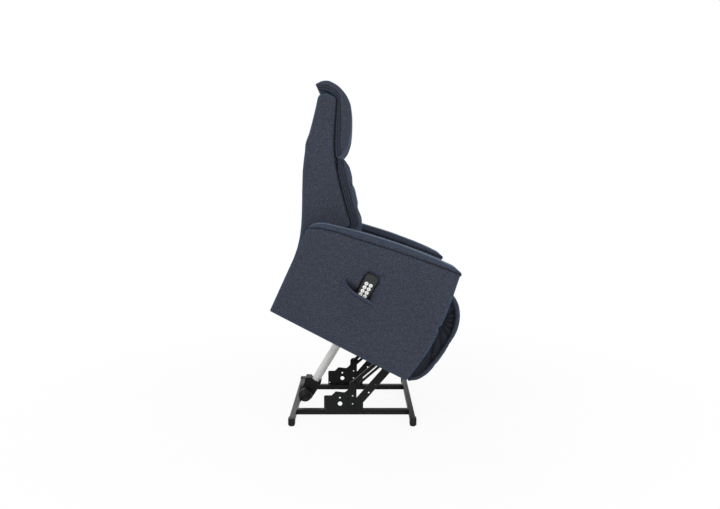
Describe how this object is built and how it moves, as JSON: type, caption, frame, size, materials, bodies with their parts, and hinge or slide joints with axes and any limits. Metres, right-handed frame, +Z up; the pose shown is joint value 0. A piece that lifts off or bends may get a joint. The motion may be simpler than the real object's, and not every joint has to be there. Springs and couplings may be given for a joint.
{
  "type": "lift recliner chair",
  "caption": "Upholstered recliner armchair on a motor-driven lift frame that raises and tips it forward, with reclining back, folding footrest and a handset in a side pocket.",
  "frame": {"origin": "on the floor, under the middle of the overall box in the raised pose", "axes": "+Z up; +X the way the sitter faces; +Y to the sitter's left; the handset is on the right arm, at -Y"},
  "size_m": [0.8771, 0.8156, 1.6025],
  "materials": {
    "frame_steel": "black semi-gloss powder coat",
    "zinc_pin": "zinc plated",
    "actuator_tube": "light grey satin",
    "moulded_plastic": "black, fine moulded texture",
    "handset_plastic": "dark grey, satin",
    "button_plastic": "off-white, satin",
    "plywood": "bare",
    "upholstery": "heathered woven cloth",
    "upholstery_trim": "heathered woven cloth, rubbed edges"
  },
  "bodies": {
    "base": {"rear_cross_tube": "frame_steel", "front_cross_tube": "frame_steel", "side_rail_right": "frame_steel", "side_rail_left": "frame_steel", "foot_caps": "moulded_plastic", "lift_bracket_right": "frame_steel", "lift_bracket_left": "frame_steel", "lift_post_right": "frame_steel", "lift_post_left": "frame_steel", "bracket_rivets": "frame_steel", "motor_clevis": "frame_steel", "motor_clevis_pin": "zinc_pin"},
    "lower_arms": {"lower_arm_right": "frame_steel", "lower_arm_left": "frame_steel"},
    "upper_arms": {"upper_arm_right": "frame_steel", "upper_arm_left": "frame_steel"},
    "actuator": {"lift_gearbox": "moulded_plastic", "lift_motor": "moulded_plastic", "lift_guide_tube": "actuator_tube"},
    "piston": {"lift_piston": "zinc_pin", "lift_piston_eye": "moulded_plastic"},
    "chassis": {"side_plate_right": "frame_steel", "side_plate_left": "frame_steel", "chassis_pins": "zinc_pin", "lift_crossbar": "frame_steel", "rear_crossbar": "frame_steel", "seat_rail_right": "plywood", "seat_rail_left": "plywood", "seat_rail_front": "plywood", "seat_rail_rear": "plywood", "seat_deck": "plywood", "seat_cushion": "upholstery", "control_box": "moulded_plastic", "arm_panel_right": "upholstery", "arm_panel_left": "upholstery", "arm_pad_right": "upholstery_trim", "arm_pad_left": "upholstery_trim", "handset_pocket": "upholstery_trim"},
    "back": {"back_frame": "frame_steel", "back_shell": "upholstery", "lumbar_cushion": "upholstery", "headrest_cushion": "upholstery"},
    "footrest_rear_links": {"footrest_rear_link_right": "frame_steel", "footrest_rear_link_left": "frame_steel"},
    "footrest_front_links": {"footrest_front_link_right": "frame_steel", "footrest_front_link_left": "frame_steel"},
    "footrest": {"footrest_board": "plywood", "footrest_pad": "upholstery"},
    "handset": {"handset": "handset_plastic"},
    "button_1": {"button_1": "button_plastic"},
    "button_2": {"button_2": "button_plastic"},
    "button_3": {"button_3": "button_plastic"},
    "button_4": {"button_4": "button_plastic"},
    "button_5": {"button_5": "button_plastic"},
    "button_6": {"button_6": "button_plastic"},
    "button_7": {"button_7": "button_plastic"},
    "button_8": {"button_8": "button_plastic"}
  },
  "joints": [
    {"name": "lift", "type": "hinge", "parent": "base", "child": "lower_arms", "pos_m": [-0.0365, 0, 0.054], "axis": [0, 1, 0], "range_deg": [0, 46.2]},
    {"name": "chassis_tilt", "type": "hinge", "parent": "lower_arms", "child": "chassis", "pos_m": [0.13502, 0, 0.28161], "axis": [0, -1, 0], "range_deg": [0, 74.01]},
    {"name": "upper_arm_swing", "type": "hinge", "parent": "base", "child": "upper_arms", "pos_m": [-0.0665, 0, 0.16], "axis": [0, 1, 0], "range_deg": [0, 39.89]},
    {"name": "actuator_swing", "type": "hinge", "parent": "base", "child": "actuator", "pos_m": [-0.3175, 0, 0.026], "axis": [0, 1, 0], "range_deg": [0, 24.94]},
    {"name": "piston_slide", "type": "slide", "parent": "actuator", "child": "piston", "axis": [-0.5135, 0, -0.8581], "range_m": [0, 0.2095]},
    {"name": "back_recline", "type": "hinge", "parent": "chassis", "child": "back", "pos_m": [-0.20297, 0, 0.80913], "axis": [0, -1, 0], "range_deg": [0, 38]},
    {"name": "footrest_extend", "type": "hinge", "parent": "chassis", "child": "footrest_rear_links", "pos_m": [0.24745, 0, 0.53774], "axis": [0, -1, 0], "range_deg": [0, 105]},
    {"name": "footrest_front_link_swing", "type": "hinge", "parent": "footrest_rear_links", "child": "footrest_front_links", "pos_m": [0.09571, 0, 0.42339], "axis": [0, 1, 0], "range_deg": [0, 103]},
    {"name": "footrest_board_swing", "type": "hinge", "parent": "footrest_front_links", "child": "footrest", "pos_m": [0.2848, 0, 0.40485], "axis": [0, -1, 0], "range_deg": [0, 83]},
    {"name": "handset_lift_out", "type": "slide", "parent": "chassis", "child": "handset", "axis": [0.4569, -0.2011, 0.8665], "range_m": [0, 0.12]},
    {"name": "button_1_press", "type": "slide", "parent": "handset", "child": "button_1", "axis": [0.0938, 0.9796, 0.1779], "range_m": [0, 0.0008], "stiffness_N_per_m": 800},
    {"name": "button_2_press", "type": "slide", "parent": "handset", "child": "button_2", "axis": [0.0938, 0.9796, 0.1779], "range_m": [0, 0.0008], "stiffness_N_per_m": 800},
    {"name": "button_3_press", "type": "slide", "parent": "handset", "child": "button_3", "axis": [0.0938, 0.9796, 0.1779], "range_m": [0, 0.0008], "stiffness_N_per_m": 800},
    {"name": "button_4_press", "type": "slide", "parent": "handset", "child": "button_4", "axis": [0.0938, 0.9796, 0.1779], "range_m": [0, 0.0008], "stiffness_N_per_m": 800},
    {"name": "button_5_press", "type": "slide", "parent": "handset", "child": "button_5", "axis": [0.0938, 0.9796, 0.1779], "range_m": [0, 0.0008], "stiffness_N_per_m": 800},
    {"name": "button_6_press", "type": "slide", "parent": "handset", "child": "button_6", "axis": [0.0938, 0.9796, 0.1779], "range_m": [0, 0.0008], "stiffness_N_per_m": 800},
    {"name": "button_7_press", "type": "slide", "parent": "handset", "child": "button_7", "axis": [0.0938, 0.9796, 0.1779], "range_m": [0, 0.0008], "stiffness_N_per_m": 800},
    {"name": "button_8_press", "type": "slide", "parent": "handset", "child": "button_8", "axis": [0.0938, 0.9796, 0.1779], "range_m": [0, 0.0008], "stiffness_N_per_m": 800}
  ],
  "couplings": [
    {"joint": "chassis_tilt", "follows": "lift", "ratio": 1.6017},
    {"joint": "upper_arm_swing", "follows": "lift", "ratio": 0.86313},
    {"joint": "actuator_swing", "follows": "lift", "ratio": 0.53958},
    {"joint": "piston_slide", "follows": "lift", "m_per_rad": 0.25979},
    {"joint": "footrest_front_link_swing", "follows": "footrest_extend", "ratio": 0.97905},
    {"joint": "footrest_board_swing", "follows": "footrest_extend", "ratio": 0.78857}
  ]
}
